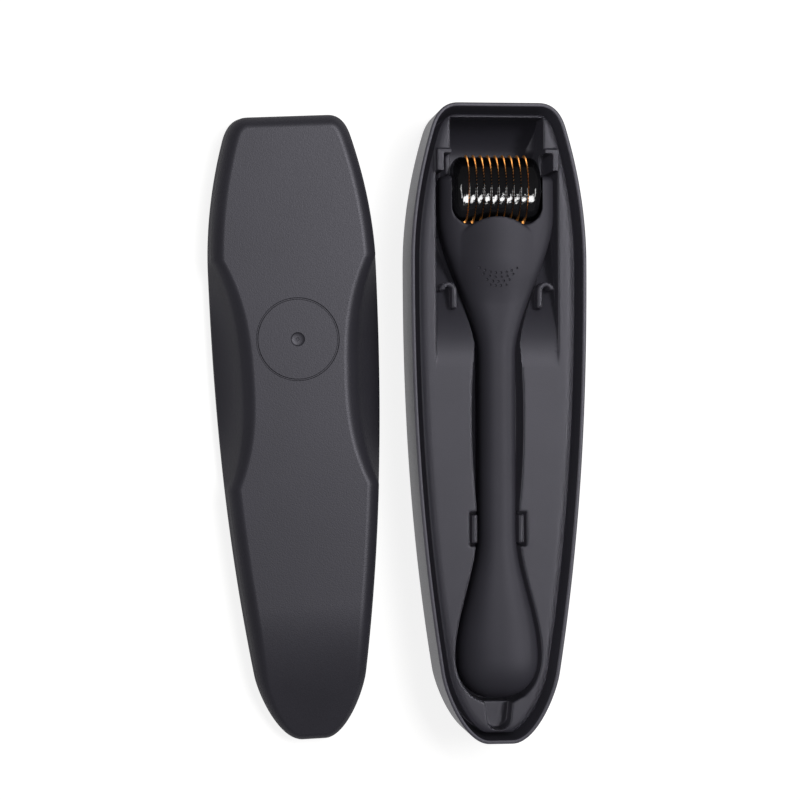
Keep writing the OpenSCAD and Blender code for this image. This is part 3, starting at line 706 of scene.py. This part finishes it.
# drum: crowned spacers and round end caps, the toothed discs between them
drumPlan = {
    "discs": 9, "pitch": 1.92, "discThick": 0.2, "radius": 8.35, "hub": 4.02, "run": 1.3,
    "crown": 0.08, "edgeStart": 0.8, "edgeDrop": 0.5, "ringSteps": 6,
    "capLength": 3.65, "capStraight": 1.2, "capFace": 5.2, "hubHalf": 9.605,
    "capBevel": 0.1, "boreBevel": 0.2, "capSteps": 14, "steps": 128, "sharp": 40,
}


def makeSpacer(number):
    d = drumPlan
    middle, half = (number - d["discs"] / 2) * d["pitch"], d["ringSteps"]
    profile = [(middle - d["pitch"] / 2, d["hub"])]
    for k in range(2 * half + 1):
        u = k / half - 1
        end = max(0.0, abs(u) - d["edgeStart"]) * d["edgeDrop"]
        profile.append((middle + u * d["pitch"] / 2, d["radius"] - d["crown"] * u * u - end))
    profile.append((middle + d["pitch"] / 2, d["hub"]))
    ring = lathe(f"spacerRing{number}", profile, d["steps"], (0, axleY, axleZ))
    finishPiece(ring, drumPlastic, "drum", f"spacer_ring_{number}", d["sharp"])
    return ring


def makeCap(name, node, sign):
    d = drumPlan
    stack = (d["discs"] - 1) * d["pitch"] / 2 + d["discThick"] / 2
    straight, end = stack + d["capStraight"], stack + d["capLength"]
    bevel, bore, face = d["capBevel"], d["boreBevel"], d["capFace"]
    profile = [(stack, d["hub"]), (stack, d["radius"] - bevel), (stack + bevel, d["radius"])]
    profile += [(straight + (d["capLength"] - d["capStraight"]) * math.sin(f),
                 face + (d["radius"] - face) * math.cos(f)) for f in quarter(d["capSteps"])]
    profile += [(end, d["run"] + bore), (end - bore, d["run"]),
                (d["hubHalf"], d["run"]), (d["hubHalf"], d["hub"])]
    cap = lathe(name, [(sign * x, r) for x, r in profile], d["steps"], (0, axleY, axleZ))
    finishPiece(cap, drumPlastic, "drum", node, d["sharp"])
    return cap


def makeDrum():
    spacers = [makeSpacer(number) for number in range(1, drumPlan["discs"])]
    return spacers + [makeCap("endCapLeft", "end_cap_left", -1),
                      makeCap("endCapRight", "end_cap_right", 1)]


# CAD nodes that keep their own shape
def dressNodes():
    for name, node in nodes.items():
        finish = drumPlastic
        if name.startswith("needle"):
            finish = needleGold
        if name == "axle_pin":
            finish = axleSteel
        node.data.materials.clear()
        node.data.materials.append(finish)


dressNodes()
print("discs, hub and axle dressed")
tray = makeTray()
makeLid()
print("case made")
liner = makeLiner()
print("liner made")
handleShells = makeHandle()
print("handle made")
drumPieces = makeDrum()
print("drum made")


# floor and air
stagePlan = {
    "floorSize": 6.0, "floorZ": -0.00005, "floorTone": (0.80, 0.79, 0.78, 1),
    "glow": 1.36, "share": 0.62, "air": 0.2,
}


def mixShaders(tree, first, second):
    node = tree.nodes.new("ShaderNodeMixShader")
    tree.links.new(first.outputs[0], node.inputs[1])
    tree.links.new(second.outputs[0], node.inputs[2])
    return node


def makeFloor():
    size, z = stagePlan["floorSize"], stagePlan["floorZ"]
    corners = [(-size, -size, z), (size, -size, z), (size, size, z), (-size, size, z)]
    mesh = bpy.data.meshes.new("studioFloor")
    mesh.from_pydata(corners, [], [(0, 1, 2, 3)])
    floor = linkObject("studioFloor", mesh)
    material, tree, shader = newMaterial("studioWhite")
    tree.nodes.remove(shader)
    lit = tree.nodes.new("ShaderNodeBsdfDiffuse")
    lit.inputs["Color"].default_value = stagePlan["floorTone"]
    glow = tree.nodes.new("ShaderNodeEmission")
    glow.inputs["Strength"].default_value = stagePlan["glow"]
    seen = mixShaders(tree, lit, glow)
    seen.inputs["Fac"].default_value = stagePlan["share"]
    final = mixShaders(tree, lit, seen)
    path = tree.nodes.new("ShaderNodeLightPath")
    direct = path.outputs["Is Camera Ray"]
    for ray in ("Is Glossy Ray", "Is Transmission Ray"):
        direct = joinValues(tree, "MAXIMUM", direct, path.outputs[ray])
    tree.links.new(direct, final.inputs[0])
    tree.links.new(final.outputs[0], tree.nodes["Material Output"].inputs["Surface"])
    mesh.materials.append(material)


def makeAir():
    world = bpy.data.worlds.new("studioAir")
    world.use_nodes = True
    air = world.node_tree.nodes["Background"]
    air.inputs["Color"].default_value = (1, 1, 1, 1)
    air.inputs["Strength"].default_value = stagePlan["air"]
    scene.world = world


# softboxes: each lights the pieces it names, or all but those it skips
middle, drumSpot = (0, 0, 0), (0, 0.06, 0.02)
fillLook = {"aim": middle, "size": (0.6, 0.6), "shadow": False}
capLook = {"aim": drumSpot, "size": (0.70, 0.16), "radiance": 34.0, "lights": ["drum"]}
lampPlan = [
    {"name": "headSoftbox", "place": (0.32, 0.21, 1.0), "aim": (-0.02, 0.02, 0),
     "size": (0.62, 0.38), "radiance": 12.2, "skips": ["drum", "needles", "handle", "liner"]},
    {"name": "linerLamp", "place": (0.30, 0.13, 1.0), "aim": (0, 0.012, 0.02),
     "size": (0.50, 0.22), "radiance": 0.53, "spread": 16, "lights": ["liner"]},
    {"name": "handleLamp", "place": (0.42, 0.18, 1.0), "aim": (0, 0, 0.02),
     "size": (1.20, 0.46), "radiance": 6.6, "lights": ["handle"]},
    {"name": "drumLamp", "place": (0.10, -0.42, 0.60), "aim": drumSpot,
     "size": (0.34, 0.24), "radiance": 62.0, "roll": 24, "lights": ["drum"]},
    {"name": "capLamp", "place": (-0.46, -0.14, 0.70), **capLook},
    {"name": "capLamp", "place": (0.62, -0.24, 0.70), **capLook},
    {"name": "needleLamp", "place": (0.05, -0.48, 0.74), "aim": drumSpot,
     "size": (0.4, 0.25), "radiance": 19.0, "shadow": False, "lights": ["needles"]},
    # lift the deep gaps a little
    {"name": "gapFill", "place": (-1, 0, 0.35), "radiance": 4.5, "lights": ["liner"], **fillLook},
    {"name": "gapFill", "place": (1, 0, 0.35), "radiance": 4.5, "lights": ["liner", "handle"],
     **fillLook},
    # draw the tray's rim
    {"name": "rimFill", "place": (0.6, 0, 1.0), "radiance": 3.2, "lights": ["tray"], **fillLook},
    {"name": "rimFill", "place": (-1.0, 0, 0.35), "radiance": 4.6, "lights": ["tray"], **fillLook},
    {"name": "rimFill", "place": (0, -1.0, 0.35), "radiance": 2.6, "lights": ["tray"], **fillLook},
]


def softbox(plan):
    width, height = plan["size"]
    data = bpy.data.lights.new(plan["name"], "AREA")
    data.shape = "RECTANGLE"
    data.size = width
    data.size_y = height
    data.energy = plan["radiance"] * math.pi * width * height
    data.use_shadow = plan.get("shadow", True)
    if "spread" in plan:
        data.spread = math.radians(plan["spread"])
    lamp = linkObject(plan["name"], data)
    lamp.location = plan["place"]
    way = Vector(plan["aim"]) - Vector(plan["place"])
    lamp.rotation_euler = way.to_track_quat("-Z", "Y").to_euler()
    lamp.rotation_euler.rotate_axis("Z", math.radians(plan.get("roll", 0.0)))
    return lamp


def linkLight(lamp, pieces, state):
    group = bpy.data.collections.new(lamp.name + "Pieces")
    for piece in pieces:
        group.objects.link(piece)
    lamp.light_linking.receiver_collection = group
    for entry in group.collection_objects:
        entry.light_linking.link_state = state


def makeLight():
    needles = [node for name, node in nodes.items() if name.startswith("needle")]
    groups = {"tray": [tray], "liner": [liner], "handle": handleShells, "drum": drumPieces,
              "needles": needles}
    for plan in lampPlan:
        lamp = softbox(plan)
        named = plan.get("lights") or plan["skips"]
        pieces = [piece for group in named for piece in groups[group]]
        linkLight(lamp, pieces, "INCLUDE" if "lights" in plan else "EXCLUDE")


makeCamera()
makeFloor()
makeAir()
makeLight()
scene.view_settings.view_transform = "Standard"
print("stage set")
